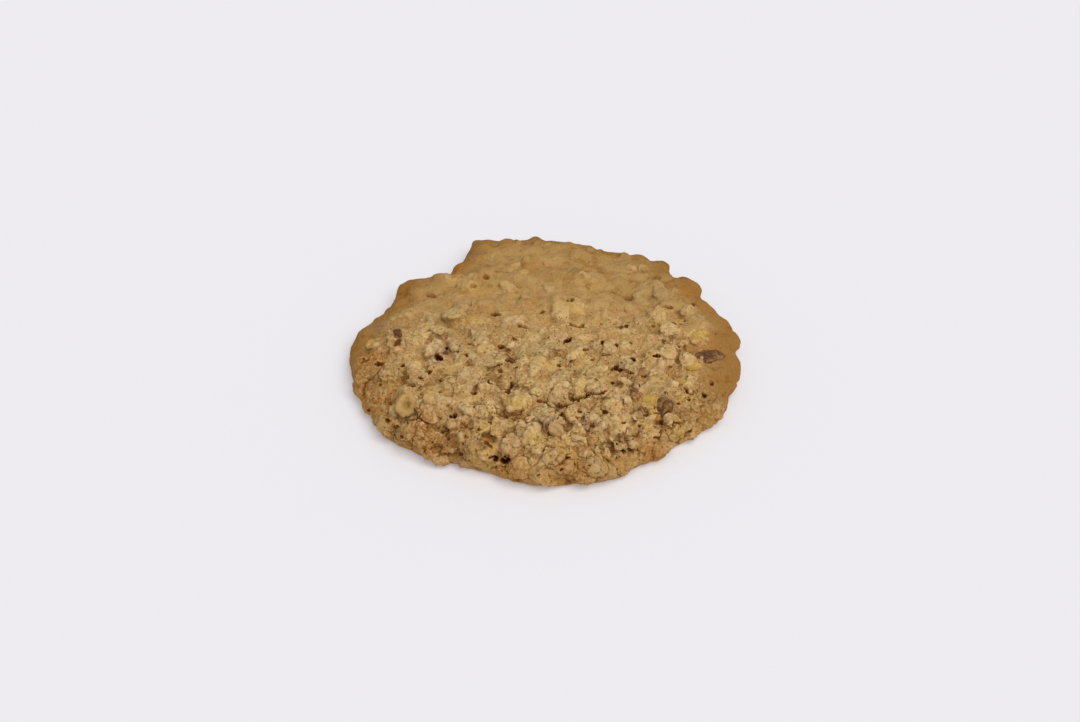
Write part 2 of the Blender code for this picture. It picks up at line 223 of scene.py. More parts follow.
# Oats that show in the crust: x, y, length, width, how far they stand out, spin in degrees.
OATS = (
    (-6.2, -27.4, 6.0, 4.4, 0.8, 60), (-1.4, -20.2, 4.8, 3.8, 0.6, 20), (-2.2, -38.2, 5.8, 4.6, 1.4, 80),
    (4.2, -40.4, 4.6, 3.8, 1.2, 10), (11.2, -38.0, 6.6, 3.6, 1.3, 105), (15.2, -33.6, 5.6, 4.4, 0.8, 30),
    (21.4, -33.8, 5.6, 4.0, 0.9, 70), (6.0, -31.0, 5.2, 4.0, 0.5, 130), (-16.6, -24.0, 5.6, 4.6, 0.7, 10),
    (-11.4, -26.6, 5.2, 4.0, 0.6, 50), (-24.6, -21.6, 5.4, 4.4, 0.6, 150), (-20.4, -14.6, 5.4, 4.2, 0.6, 20),
    (-36.6, -19.6, 5.0, 4.0, 0.6, 100), (-30.4, -20.0, 4.6, 3.8, 0.5, 40), (-22.4, -28.8, 5.2, 3.6, 0.5, 165),
    (1.6, -14.4, 5.6, 4.6, 0.7, 30), (-2.4, -13.4, 5.0, 4.2, 0.6, 120), (8.4, -13.2, 4.8, 3.8, 0.5, 70),
    (24.0, -19.0, 5.4, 4.2, 0.5, 10), (30.2, -23.0, 6.0, 4.6, 0.7, 60), (-15.4, 2.0, 5.6, 4.2, 0.5, 20),
    (-3.4, -3.6, 5.0, 3.8, 0.4, 160), (34.2, -1.6, 6.4, 5.4, 0.8, 40),
)

# Clumps of dough along the front rim and behind it, written as the oats are.
CLUMPS = (
    (-6.8, -34.8, 5.4, 4.6, 1.0, 20), (-4.2, -41.6, 8.0, 5.4, 0.9, 165),
    (3.0, -43.0, 5.0, 3.6, 0.7, 30), (9.0, -41.6, 4.6, 3.6, 0.8, 150),
    (16.2, -36.2, 7.0, 5.0, 0.7, 20), (25.6, -33.2, 6.0, 4.4, 0.9, 35),
    (31.0, -27.6, 5.0, 4.0, 0.4, 45), (36.2, -21.2, 5.0, 4.0, 0.5, 60),
    (-21.4, -34.4, 7.6, 5.8, 0.8, 160), (-25.0, -34.8, 9.6, 5.6, 0.7, 150),
    (-34.0, -27.8, 5.2, 4.2, 0.6, 125), (-37.6, -19.8, 5.4, 4.2, 0.6, 115),
    (-40.6, -12.4, 5.0, 4.0, 0.7, 95), (-23.4, -25.4, 4.8, 4.0, 0.8, 60),
    (-17.6, -31.6, 5.2, 4.2, 0.8, 15),
)

# The one oat that shows whole, at the front left, written as the others are. Then how far its face
# leans to the front, how thick it is, and how far its middle sinks as a share of that.
WHOLE_OAT = (-30.0, -26.4, 5.3, 4.5, 2.1, 80)
WHOLE_OAT_LEAN = math.radians(24)
WHOLE_OAT_THICKNESS = 1.9
WHOLE_OAT_DENT = 0.75

# Where the camera looks, in millimetres, and the side that the soft light comes from.
LOOK_AT = Vector((-1.5, -4.5, 4.0))
LIGHT_FROM = Vector((0.37, -0.52, 1.0))


def linear(hex_color):
    """An sRGB colour written as #RRGGBB, as linear red, green and blue."""
    parts = [int(hex_color[i : i + 2], 16) / 255 for i in (1, 3, 5)]
    return [c / 12.92 if c <= 0.04045 else ((c + 0.055) / 1.055) ** 2.4 for c in parts]


def length_of(name, description, millimetres):
    """A length that a user can set, in millimetres."""
    kind = {"default": millimetres * MM, "min": 0.0, "unit": "LENGTH", "precision": 5}
    return FloatProperty(name=name, description=description, **kind)


def color_of(name, description, hex_color):
    kind = {"default": linear(hex_color), "size": 3, "min": 0.0, "max": 1.0, "subtype": "COLOR"}
    return FloatVectorProperty(name=name, description=description, **kind)


def strength_of(name, description, strength):
    return FloatProperty(name=name, description=description, default=strength, min=0.0)


class DoughSettings(PropertyGroup):
    """The dough's lumps, crumb and crust colours."""

    lump_spacing: length_of("Lump spacing", "Least distance between oats under the crust", 3.4)
    lump_length: length_of("Lump length", "Length of the longest oats under the crust", 7.0)
    lump_rise: length_of("Lump rise", "How far those oats lift the crust", 0.8)
    bit_spacing: length_of("Bit spacing", "Least distance between broken bits", 2.2)
    bit_length: length_of("Bit length", "Length of the longest broken bits", 3.6)
    bit_rise: length_of("Bit rise", "How far the bits lift the crust", 0.2)
    relief: length_of("Relief", "Height of the largest folds of the crust", 0.6)
    pores: IntProperty(name="Pores", description="How many small pores steam has left", default=500, min=0)
    top: color_of("Top", "Crust on top of the lumps", "#D8B680")
    gold: color_of("Gold", "Browner crust between them", "#B68C50")
    bare: color_of("Bare", "Smooth crust at the back and the sides", "#A27E50")
    olive: color_of("Olive", "Greyer crust where flour shows", "#AE9866")
    rose: color_of("Rose", "Rosy crust", "#BE9A72")
    rim: color_of("Rim", "Browned edge", "#98692C")
    # Painted shade: the brown laid in recesses, in fine gaps between grains and round the pits, where shade
    # falls. It also tints some random patches of smooth crust.
    crevice_shade: color_of("Crevice", "Crust down between the lumps", "#865004")
    # Painted shade at the bottom of the pits, cracks and pores.
    pit: color_of("Pit", "Crumb at the bottom of a pit", "#380600")
    purple: color_of("Purple", "Crust that nut skin has stained", "#8E6A58")
    amber: color_of("Amber", "Caramelised sugar", "#A96E26")
    yellow: color_of("Yellow", "Buttery crust", "#CDA85C")
    # Bran specks, and also painted shade along the edges of domes and in pinhole dots.
    bran_and_shade: color_of("Speck", "Bran specks", "#603406")
    # Also the painted highlight on ridges.
    flour: color_of("Flour", "Palest grains of the crumb", "#ECD0A0")


class OatSettings(PropertyGroup):
    """The bare oats on the crust."""

    spacing: length_of("Spacing", "Least distance between bare oats", 11.0)
    length: length_of("Length", "Length of the longest oats", 6.0)
    proud: length_of("Proud", "How far an oat stands out of the dough", 0.15)
    pale: color_of("Pale", "Flat of an oat", "#D0B078")
    brown: color_of("Brown", "Toasted edge of an oat", "#A87E48")
    middle: color_of("Middle", "Olive middle of the whole oat", "#8C7638")


class CrumbSettings(PropertyGroup):
    """The crumbs that stick to the crust."""

    spacing: length_of("Spacing", "Least distance between crumbs", 1.25)
    length: length_of("Length", "Length of the largest crumbs", 0.8)
    proud: length_of("Proud", "How far a crumb stands out of the dough", 0.16)


class NutSettings(PropertyGroup):
    """The walnut pieces."""

    flesh: color_of("Flesh", "Broken face of a nut", "#CBAA58")
    skin: color_of("Skin", "Papery skin of a nut", "#5C3624")
    # Painted shade down in the folds of a nut's skin.
    fold: color_of("Fold", "Down in a fold of the skin", "#48281A")


class StageSettings(PropertyGroup):
    """Floor, lights and camera."""

    floor: color_of("Floor", "Pale floor", "#D8D8DB")
    glow_color: color_of("Glow colour", "Colour of the light that comes through the floor", "#FBF7FF")
    glow: strength_of("Glow", "Strength of the light through the floor", 0.234)
    sun: strength_of("Sun", "Strength of the soft light from above", 1.92)
    sky: strength_of("Sky", "Strength of the light from all round", 0.4)
    lens: FloatProperty(
        name="Lens", description="Focal length of the camera", default=60.0, min=1.0, unit="CAMERA"
    )
    distance: length_of("Distance", "How far the camera stands from its target", 407)
    elevation: FloatProperty(
        name="Elevation",
        description="How far above the floor's level the camera looks from",
        default=VIEW_TILT,
        subtype="ANGLE",
    )


def feed(tree, node, feeds):
    """Feeds a node's inputs, named or numbered, with values, sockets or nodes."""
    for key, value in feeds.items():
        if isinstance(key, int):
            socket = node.inputs[key]
        else:
            socket = next(s for s in node.inputs if s.name == key and s.enabled)
        if isinstance(value, bpy.types.Node):
            value = next(s for s in value.outputs if s.enabled)
        if isinstance(value, NodeSocket):
            tree.links.new(value, socket)
        else:
            socket.default_value = value


def put(tree, kind, feeds=None, **settings):
    """Adds a node, sets its properties and feeds its inputs."""
    node = tree.nodes.new(kind)
    for name, value in settings.items():
        setattr(node, name, value)
    feed(tree, node, feeds or {})
    return node


def maths(tree, operation, *values):
    return put(tree, "ShaderNodeMath", dict(enumerate(values)), operation=operation)


def vector_maths(tree, operation, feeds):
    return put(tree, "ShaderNodeVectorMath", feeds, operation=operation)


def part_of(tree, vector, axis):
    return put(tree, "ShaderNodeSeparateXYZ", {"Vector": vector}).outputs[axis]


def texture(tree, kind, place, grain, more=None, **settings):
    """A noise or Voronoi texture whose grains are this many millimetres across."""
    feeds = {"Vector": place, "Scale": 1 / (grain * MM), **(more or {})}
    return put(tree, "ShaderNodeTex" + kind, feeds, **settings)


def random_of(tree, low, high, seed, kind="FLOAT"):
    feeds = {"Min": low, "Max": high, "Seed": seed}
    return put(tree, "FunctionNodeRandomValue", feeds, data_type=kind)


def mark_of(tree, name):
    """The number that each point keeps under this name."""
    return put(tree, "GeometryNodeInputNamedAttribute", {"Name": name}, data_type="FLOAT")


def stored(tree, geometry, name, value, domain="POINT"):
    """The geometry with one number stored for each of its points or instances."""
    feeds = {"Geometry": geometry, "Name": name, "Value": value}
    return put(tree, "GeometryNodeStoreNamedAttribute", feeds, data_type="FLOAT", domain=domain)


def geometry_tree(name, inputs):
    """A new tree for a modifier, with the socket type of each input after the geometry."""
    tree = bpy.data.node_groups.new(name, "GeometryNodeTree")
    tree.is_modifier = True
    sockets = tree.interface
    sockets.new_socket("Geometry", in_out="INPUT", socket_type="NodeSocketGeometry")
    for label, kind in inputs.items():
        sockets.new_socket(label, in_out="INPUT", socket_type="NodeSocket" + kind)
    sockets.new_socket("Geometry", in_out="OUTPUT", socket_type="NodeSocketGeometry")
    return tree, tree.nodes.new("NodeGroupInput").outputs


def baked(piece):
    """Replaces the piece's mesh by what its modifiers make of it."""
    graph = bpy.context.evaluated_depsgraph_get()
    mesh = bpy.data.meshes.new_from_object(piece.evaluated_get(graph))
    piece.modifiers.clear()
    piece.data = mesh
    return mesh


def run_tree(piece, tree, values):
    """Replaces the piece's mesh by what the tree makes of it with these inputs."""
    modifier = piece.modifiers.new(tree.name, "NODES")
    modifier.node_group = tree
    for item in tree.interface.items_tree:
        if item.in_out == "INPUT" and item.name in values:
            modifier[item.identifier] = values[item.name]
    return baked(piece)


def melt(piece, voxel, rounds):
    """Melts all that the piece holds into one skin with even faces, and smooths it."""
    remesh = piece.modifiers.new("Melt together", "REMESH")
    remesh.mode = "VOXEL"
    remesh.voxel_size = voxel * MM
    smooth = piece.modifiers.new("Soften", "SMOOTH")
    smooth.factor, smooth.iterations = 0.5, rounds
    return baked(piece)


def new_piece(name, data):
    """Puts a mesh, a light or a camera into the scene."""
    piece = bpy.data.objects.new(name, data)
    bpy.context.scene.collection.objects.link(piece)
    return piece


def drop(*pieces):
    for piece in pieces:
        bpy.data.objects.remove(piece)


def drop_shapes(shapes):
    drop(*shapes.objects)
    bpy.data.collections.remove(shapes)


def written(made, mesh):
    """Writes the bmesh to the mesh and frees it."""
    made.to_mesh(mesh)
    made.free()
    return mesh


def dress(mesh, material):
    mesh.materials.clear()
    mesh.materials.append(material)
    mesh.shade_smooth()


def vectors_of(mesh, kind):
    vectors = np.empty(len(mesh.vertices) * 3)
    mesh.vertices.foreach_get(kind, vectors)
    return vectors.reshape(-1, 3)


def points_of(mesh):
    return vectors_of(mesh, "co") / MM


def move_points(mesh, points):
    mesh.vertices.foreach_set("co", (points * MM).ravel())
    mesh.update()


def mark(mesh, name, values):
    """Stores one number for each point of the mesh."""
    layer = mesh.attributes.get(name) or mesh.attributes.new(name, "FLOAT", "POINT")
    layer.data.foreach_set("value", np.asarray(values, np.float32))


def ramp(values, low, high):
    """0 at low, 1 at high and smooth between."""
    share = np.clip((values - low) / (high - low), 0, 1)
    return share * share * (3 - 2 * share)


def front_share(points, front, back):
    """1 up to one place on the front-to-back line, 0 from the other on and smooth between."""
    return 1 - ramp(points[:, 1], front, back)


def wander(points, spacing, reach):
    """A smooth random offset for each point."""
    offsets = [noise.noise_vector(Vector(point) / spacing) for point in points]
    return np.array(offsets) * reach


def out_to_edge(points):
    """How far out each point lies in plan: 0 in the middle and 1 at the cookie's edge."""
    corners = points_of(frame["nodes"][NODE].data)
    step = 360 / SECTORS
    sectors = (np.degrees(np.arctan2(corners[:, 1], corners[:, 0])) % 360 // step).astype(int)
    radii = np.hypot(corners[:, 0], corners[:, 1])
    edge = np.array([radii[sectors == sector].max() for sector in range(SECTORS)])
    edge = np.minimum(edge, np.minimum(np.roll(edge, 1), np.roll(edge, -1)))
    here = np.degrees(np.arctan2(points[:, 1], points[:, 0]))
    reach = np.interp(here, np.arange(SECTORS) * step + step / 2, edge, period=360)
    return np.hypot(points[:, 0], points[:, 1]) / reach


def as_seen(points):
    """The points in plan, with what is higher further back, as it is in the photo."""
    return points[:, :2] + points[:, 2:] * (0, 1 / math.tan(VIEW_TILT))


def near_to(points, low, high, margin):
    """Which points lie in plan within the margin round the box from low to high."""
    inside = (points[:, :2] > np.array(low) - margin) & (points[:, :2] < np.array(high) + margin)
    return np.flatnonzero(inside[:, 0] & inside[:, 1])


def surface_of(piece):
    return BVHTree.FromObject(piece, bpy.context.evaluated_depsgraph_get())


def part_crust():
    """The part's own surface."""
    part = frame["nodes"][NODE].data
    return BVHTree.FromPolygons([v.co for v in part.vertices], [face.vertices for face in part.polygons])


def seen_places(places):
    """Where the part's crust over these places in plan is seen."""
    crust = part_crust()
    hits = []
    for x, y in places:
        hit = crust.ray_cast(Vector((x, y, ABOVE)) * MM, Vector((0, 0, -1)))[0]
        hits.append((hit or crust.find_nearest(Vector((x, y, 2)) * MM)[0]) / MM)
    return as_seen(np.array(hits))


def in_oval(places, middle, half_length, half_width, turn):
    """0 at an oval's middle, 1 at its edge and more outside it."""
    along = math.cos(math.radians(turn)), math.sin(math.radians(turn))
    dx, dy = (places - middle).T
    length = (dx * along[0] + dy * along[1]) / half_length
    width = (dy * along[0] - dx * along[1]) / half_width
    return np.hypot(length, width)


def from_run(places, run):
    """How far each place is from the line through a run of places."""
    nearest = np.full(len(places), np.inf)
    for start, end in zip(np.array(run), np.array(run[1:])):
        along = end - start
        share = np.clip((places - start) @ along / (along @ along), 0, 1)
        nearest = np.minimum(nearest, np.linalg.norm(places - start - share[:, None] * along, axis=1))
    return nearest


def sink(holes, near, away, deep, walls, dark, shade):
    """Deepens and darkens the points near one hole, by how far out they lie in its own size.

    Walls and shade are where its depth and its darkness start to fade, and where they end.
    """
    # The second row is the painted shade in the hole, darker the deeper it is.
    depth, inside = holes
    depth[near] = np.maximum(depth[near], deep * (1 - ramp(away, *walls)))
    inside[near] = np.maximum(inside[near], (1 - ramp(away, *shade)) * dark)


def pit_depths(points, soft=0.0):
    """How deep each point lies in a pit or crack, and how dark its painted shade is there, from 0 to 1."""
    holes = np.zeros((2, len(points)))
    pits = (*PITS, CURL_SLOT)
    for middle, (x, y, half_length, half_width, turn, deep) in zip(seen_places([p[:2] for p in pits]), pits):
        near = near_to(points, (x, y), (x, y), max(half_length, half_width) * (1.2 + soft) + 1.2)
        seen = as_seen(points[near] + wander(points[near] * (1, 1, 0), 0.8, 0.34))
        away = in_oval(seen, middle, half_length, half_width, turn)
        dark = min(1.0, deep / DARK_DEPTH)
        sink(holes, near, away, deep, (0.6, 1.2 + soft), dark, (1.1, 1.4 + soft))
    for half_width, deep, run in CRACKS:
        near = near_to(points, np.min(run, axis=0), np.max(run, axis=0), half_width + 2.0)
        flat = points[near] * (1, 1, 0)
        seen = as_seen(points[near] + wander(flat, 2.2, 0.9) + wander(flat, 0.7, 0.25))
        away = from_run(seen, seen_places(run)) / half_width
        dark = min(0.75, deep / DARK_DEPTH)
        sink(holes, near, away, deep, (0.2, 1.8 + soft), dark, (0.8, 1.5 + soft))
    return holes


def pore_depths(points, count):
    """The same for small round pores, most of them at the front and along its rim."""
    holes = np.zeros((2, len(points)))
    wanted = craggy(points) * (0.2 + 0.8 * front_share(points, -24, 12))
    wanted *= 1 + 1.6 * front_share(points, -34, -14) * ramp(out_to_edge(points), 0.82, 0.92)
    dice = np.random.default_rng(SEED)
    for middle in points[dice.choice(len(points), count, replace=False, p=wanted / wanted.sum())]:
        radius, deep = 0.16 + 0.38 * dice.random() ** 3, dice.uniform(0.2, 0.8)
        near = near_to(points, middle[:2], middle[:2], radius * 1.4 + 0.6)
        away = points[near] + wander(points[near], 0.5, 0.45) - middle
        away = np.linalg.norm(away, axis=1) / radius
        sink(holes, near, away, deep, (0.3, 1.3), 0.15 + deep, (0.6, 1.3))
    return holes


def on_pieces(points, reach):
    """1 on the oats, the nuts and the curl, and 0 from this far out on, against their own size."""
    most = np.zeros(len(points))
    for x, y, length, width, *_ in (*NUTS, *OATS, WHOLE_OAT, CURL_KNOB):
        away = np.hypot(points[:, 0] - x, points[:, 1] - y) / (length + width) * 4
        most = np.maximum(most, 1 - ramp(away, 0.8, reach))
    return most


def off_limits(points, soft):
    """1 on and near the pits, the nuts and the oats, where nothing is scattered."""
    return np.maximum(pit_depths(points, soft)[1], on_pieces(points, 1.2 + soft))


def craggy(points):
    """How much relief each part of the cookie carries.

    It is 1 where the crust is craggy, less towards the back and on the rim, which is smooth from
    the middle of the right and the back of the left on, and 0 underneath.
    """
    back = ramp(points[:, 1], -13, 24)
    left = ramp(-points[:, 0], 0, 30)
    front = 1 - ramp(points[:, 1] - 16 * left, -26, -8)
    out = out_to_edge(points)
    rim = 0.85 * ramp(out, 0.78, 0.92) * (1 - front) + 0.3 * ramp(out, 0.9, 0.99) * front
    return (1 - 0.7 * back) * (1 - rim) * ramp(points[:, 2], 0.7, 2.0)


def even_skin():
    """The part's mesh as one smooth skin a little inside it."""
    skin = new_piece("Dough skin", frame["nodes"][NODE].data.copy())
    made = bmesh.new()
    made.from_mesh(skin.data)
    bmesh.ops.remove_doubles(made, verts=made.verts, dist=0.001 * MM)
    written(made, skin.data)
    mesh = melt(skin, SKIN_VOXEL, 8)
    points = points_of(mesh)
    sunk = 0.3 + 0.15 * front_share(points, -30, -14) * ramp(out_to_edge(points), 0.85, 1.0)
    sunk *= ramp(points[:, 2], 0.3, 1.5)
    move_points(mesh, points - vectors_of(mesh, "normal") * sunk[:, None])
    return skin


def shape_set(name, count, add):
    """A collection of shapes to scatter, each drawn by add, which is given a bmesh and its number."""
    shapes = bpy.data.collections.new(name)
    bpy.context.scene.collection.children.link(shapes)
    for index in range(count):
        made = bmesh.new()
        add(made, index)
        mesh = written(made, bpy.data.meshes.new(f"{name} {index}"))
        shapes.objects.link(bpy.data.objects.new(mesh.name, mesh))
    return shapes


def lump_shapes(name, detail, blunt, ragged):
    """Shapes one metre across to scatter: flattened balls with blunt sides and ragged outlines."""

    def add_lump(made, index):
        bmesh.ops.create_icosphere(made, subdivisions=detail, radius=0.5)
        shift = Vector((index * 7.3, 2.1, 4.4))
        for vertex in made.verts:
            co = vertex.co.copy()
            co.z = math.copysign(abs(co.z * 2) ** blunt / 2, co.z)
            bulge = noise.noise_vector(co * 2.1 + shift) + 0.4 * noise.noise_vector(co * 5.3 + shift)
            vertex.co = co + bulge * Vector((ragged, ragged, ragged / 2))

    return shape_set(name, 8, add_lump)


def add_oat(made, dice, size, sides, rings, dent=0.0):
    """Adds a rolled oat of this size: a flat egg with a groove, crumpled and with a wavy edge.

    The dent is how far its middle sinks, as a share of its thickness.
    """
    shift = Vector([dice.uniform(0, 50) for _ in range(3)])
    bend, twist = dice.uniform(-0.4, 0.6), dice.uniform(-0.5, 0.5)
    groove = dice.uniform(0.05, 0.3)
    oat = bmesh.ops.create_uvsphere(made, u_segments=sides, v_segments=rings, radius=0.5)["verts"]
    for vertex in oat:
        x, y, z = vertex.co
        around = vertex.co.normalized() * 1.7
        out = 1 + 0.2 * noise.noise(around + shift) + 0.12 * noise.noise(around * 2.8 - shift)
        height = math.copysign(abs(z * 2) ** 0.6 / 2, z)
        if z > 0:
            height -= groove * math.exp(-((y / 0.07) ** 2)) * max(0.0, 1 - (x / 0.44) ** 2)
        height += bend * (x * x - 0.1) + twist * x * y - dent * math.exp(-(x * x + y * y) / 0.05)
        height += 0.22 * noise.noise(Vector((x * 4, y * 4, 0)) + shift)
        vertex.co = Vector((x * out * size[0], y * out * (1 - 0.3 * x) * size[1], height * size[2]))
    return oat


def laid_at(surface, x, y, spin, lift):
    """Where a piece at this place sits over the surface, and how it is turned there."""
    up = Vector((0, 0, 1))
    hit, normal, _, _ = surface.ray_cast(Vector((x, y, ABOVE)) * MM, -up)
    turn = up.rotation_difference(normal.lerp(up, 0.4)).to_matrix()
    return hit + turn @ Vector((0, 0, lift * MM)), turn @ Euler((0, 0, math.radians(spin))).to_matrix()


def lay(vertices, place, turn):
    for vertex in vertices:
        vertex.co = place + turn @ vertex.co


def scatter_tree():
    """Scatters a collection's shapes over a skin, each laid on it with a lean and partly sunk."""
    tree, given = geometry_tree(
        "Scatter on skin",
        {
            "Keep skin": "Bool",
            "Shapes": "Collection",
            "Spacing": "Float",
            "Least size": "Vector",
            "Most size": "Vector",
            "Least proud": "Float",
            "Most proud": "Float",
            "Lean": "Float",
            "Lowest": "Float",
            "Seed": "Int",
            "Material": "Material",
        },
    )
    spacing, seed, relief = given["Spacing"], given["Seed"], mark_of(tree, "relief")
    level = part_of(tree, put(tree, "GeometryNodeInputPosition"), "Z")
    facing = part_of(tree, put(tree, "GeometryNodeInputNormal"), "Z")
    high = put(tree, "FunctionNodeCompare", {"A": level, "B": given["Lowest"]})
    upward = put(tree, "FunctionNodeCompare", {"A": facing, "B": -0.3})
    # The shapes lie about as thick as their least distance allows.
    feeds = {
        "Mesh": given["Geometry"],
        "Selection": put(tree, "FunctionNodeBooleanMath", {0: high, 1: upward}),
        "Distance Min": spacing,
        "Density Max": maths(tree, "DIVIDE", 1.6, maths(tree, "POWER", spacing, 2.0)),
        "Density Factor": relief,
        "Seed": seed,
    }
    spread = put(tree, "GeometryNodeDistributePointsOnFaces", feeds, distribute_method="POISSON")
    size = random_of(tree, given["Least size"], given["Most size"], seed, "FLOAT_VECTOR")
    feeds = {"Collection": given["Shapes"], "Separate Children": True, "Reset Children": True}
    feeds = {
        "Points": spread.outputs["Points"],
        "Instance": put(tree, "GeometryNodeCollectionInfo", feeds),
        "Pick Instance": True,
        "Rotation": spread.outputs["Rotation"],
        "Scale": size,
    }
    laid = put(tree, "GeometryNodeInstanceOnPoints", feeds)
    lean = maths(tree, "MULTIPLY", given["Lean"], relief)
    back = maths(tree, "MULTIPLY", lean, -1.0)
    least_turn = put(tree, "ShaderNodeCombineXYZ", {"X": back, "Y": back, "Z": 0.0})
    most_turn = put(tree, "ShaderNodeCombineXYZ", {"X": lean, "Y": lean, "Z": 2 * math.pi})
    turn = random_of(tree, least_turn, most_turn, maths(tree, "ADD", seed, 1.0), "FLOAT_VECTOR")
    proud = random_of(tree, given["Least proud"], given["Most proud"], maths(tree, "ADD", seed, 2.0))
    half = maths(tree, "MULTIPLY", part_of(tree, size, "Z"), 0.5)
    rise = maths(tree, "SUBTRACT", maths(tree, "MULTIPLY", proud, relief), half)
    sized = stored(tree, laid, "rise", rise, "INSTANCE")
    lift = put(tree, "ShaderNodeCombineXYZ", {"Z": mark_of(tree, "rise")})
    feeds = {"Instances": sized, "Translation": lift, "Local Space": True}
    lifted = put(tree, "GeometryNodeTranslateInstances", feeds)
    feeds = {"Instances": lifted, "Rotation": turn, "Local Space": True}
    leaned = put(tree, "GeometryNodeRotateInstances", feeds)
    tint = random_of(tree, 0.0, 1.0, maths(tree, "ADD", seed, 3.0))
    tinted = stored(tree, leaned, "tint", tint, "INSTANCE")
    real = put(tree, "GeometryNodeRealizeInstances", {"Geometry": tinted})
    both = put(tree, "GeometryNodeJoinGeometry")
    tree.links.new(given["Geometry"], both.inputs[0])
    tree.links.new(real.outputs[0], both.inputs[0])
    feeds = {"Switch": given["Keep skin"], "False": real, "True": both}
    result = put(tree, "GeometryNodeSwitch", feeds, input_type="GEOMETRY")
    finish = put(tree, "GeometryNodeSetMaterial", {"Geometry": result, "Material": given["Material"]})
    put(tree, "NodeGroupOutput", {0: finish})
    return tree


def relief_tree():
    """Keeps the skin's main shell and raises domes, folds and crumb on it.

    Each large dome also leaves two marks: a number of its own, for its tone, and how far each of
    its points is from its edge.
    """
    tree, given = geometry_tree("Crumb relief", {"Depth": "Float"})
    island = put(tree, "GeometryNodeInputMeshIsland").outputs["Island Index"]
    feeds = {"Value": 1, "Group ID": island}
    count = put(tree, "GeometryNodeAccumulateField", feeds, data_type="INT").outputs["Total"]
    feeds = {"A": count, "B": SHELL_POINTS}
    loose = put(tree, "FunctionNodeCompare", feeds, data_type="INT", operation="LESS_THAN")
    shell = put(tree, "GeometryNodeDeleteGeometry", {"Geometry": given["Geometry"], "Selection": loose})
    place = put(tree, "GeometryNodeInputPosition")
    relief = mark_of(tree, "relief")
    # Crumb lies in patches some 6 mm across, with smoother crust between them.
    clouds = texture(tree, "Noise", place, 6, {"Detail": 0.0})
    feeds = {"Value": clouds, "From Min": 0.38, "From Max": 0.6, "To Min": 0.35, "To Max": 1.4}
    patches = put(tree, "ShaderNodeMapRange", feeds)
    # The domes' outlines wander, so that no two clumps are alike.
    bend = texture(tree, "Noise", place, 2.6, {"Detail": 1.0}).outputs["Color"]
    bent = vector_maths(tree, "MULTIPLY_ADD", {0: bend, 1: (2.4 * MM,) * 3, 2: place})
    large = DOMES[0][0]
    number = part_of(tree, texture(tree, "Voronoi", bent, large).outputs["Color"], "X")
    shell = stored(tree, shell, "clump", number)
    # How far each point lies from its dome's edge, for painted shade along that edge.
    edge = texture(tree, "Voronoi", bent, large, feature="DISTANCE_TO_EDGE")
    shell = stored(tree, shell, "crease", edge)

    def raised(total, level, height, fading):
        scaled = maths(tree, "MULTIPLY", level, maths(tree, "POWER", relief, fading))
        return maths(tree, "MULTIPLY_ADD", scaled, height, total)

    total = 0.0
    for grain, height, fading in DOMES:
        away = texture(tree, "Voronoi", bent, grain).outputs["Distance"]
        dome = maths(tree, "SUBTRACT", 0.3, maths(tree, "MULTIPLY", away, away))
        total = raised(total, dome, height, fading)
    for fold in (*FOLDS, *CRUMB):
        grain, height, fading = fold
        more = {"Detail": 0.6, "Roughness": 0.6, "Distortion": 0.9}
        level = maths(tree, "SUBTRACT", texture(tree, "Noise", place, grain, more), 0.5)
        if fold in FOLDS:
            level = maths(tree, "SUBTRACT", maths(tree, "ABSOLUTE", level), 0.1)
        else:
            level = maths(tree, "MULTIPLY", level, patches)
        total = raised(total, level, height, fading)
    deep = maths(tree, "MULTIPLY", total, given["Depth"])
    feeds = {0: put(tree, "GeometryNodeInputNormal"), "Scale": deep}
    feeds = {"Geometry": shell, "Offset": vector_maths(tree, "SCALE", feeds)}
    put(tree, "NodeGroupOutput", {0: put(tree, "GeometryNodeSetPosition", feeds)})
    return tree


def marks_tree():
    """Marks how far each point lies below those around it, how shut in it is, and its lump's tint."""
    tree, given = geometry_tree("Dough marks", {"Lumps": "Object"})
    place = put(tree, "GeometryNodeInputPosition")
    # The next two marks drive painted shade where a point lies below those around it or is shut in, and
    # painted highlight on ridges.
    feeds = {"Value": place, "Iterations": 5}
    smooth = put(tree, "GeometryNodeBlurAttribute", feeds, data_type="FLOAT_VECTOR")
    away = vector_maths(tree, "SUBTRACT", {0: smooth, 1: place})
    feeds = {0: away, 1: put(tree, "GeometryNodeInputNormal")}
    below = vector_maths(tree, "DOT_PRODUCT", feeds).outputs["Value"]
    geometry = stored(tree, given["Geometry"], "hollow", below)
    feeds = {"Value": mark_of(tree, "closed"), "Iterations": 2}
    closed = put(tree, "GeometryNodeBlurAttribute", feeds, data_type="FLOAT")
    geometry = stored(tree, geometry, "closed", closed)
    lumps = put(tree, "GeometryNodeObjectInfo", {"Object": given["Lumps"]}).outputs["Geometry"]
    feeds = {"Mesh": lumps, "Value": mark_of(tree, "tint")}
    tint = put(tree, "GeometryNodeSampleNearestSurface", feeds, data_type="FLOAT")
    put(tree, "NodeGroupOutput", {0: stored(tree, geometry, "tint", tint)})
    return tree


def keep_in_box(mesh):
    """Holds every point of the mesh within the part's own box."""
    low, high = (np.array(corner) / MM for corner in CAD_BOX)
    move_points(mesh, np.clip(points_of(mesh), low, high))


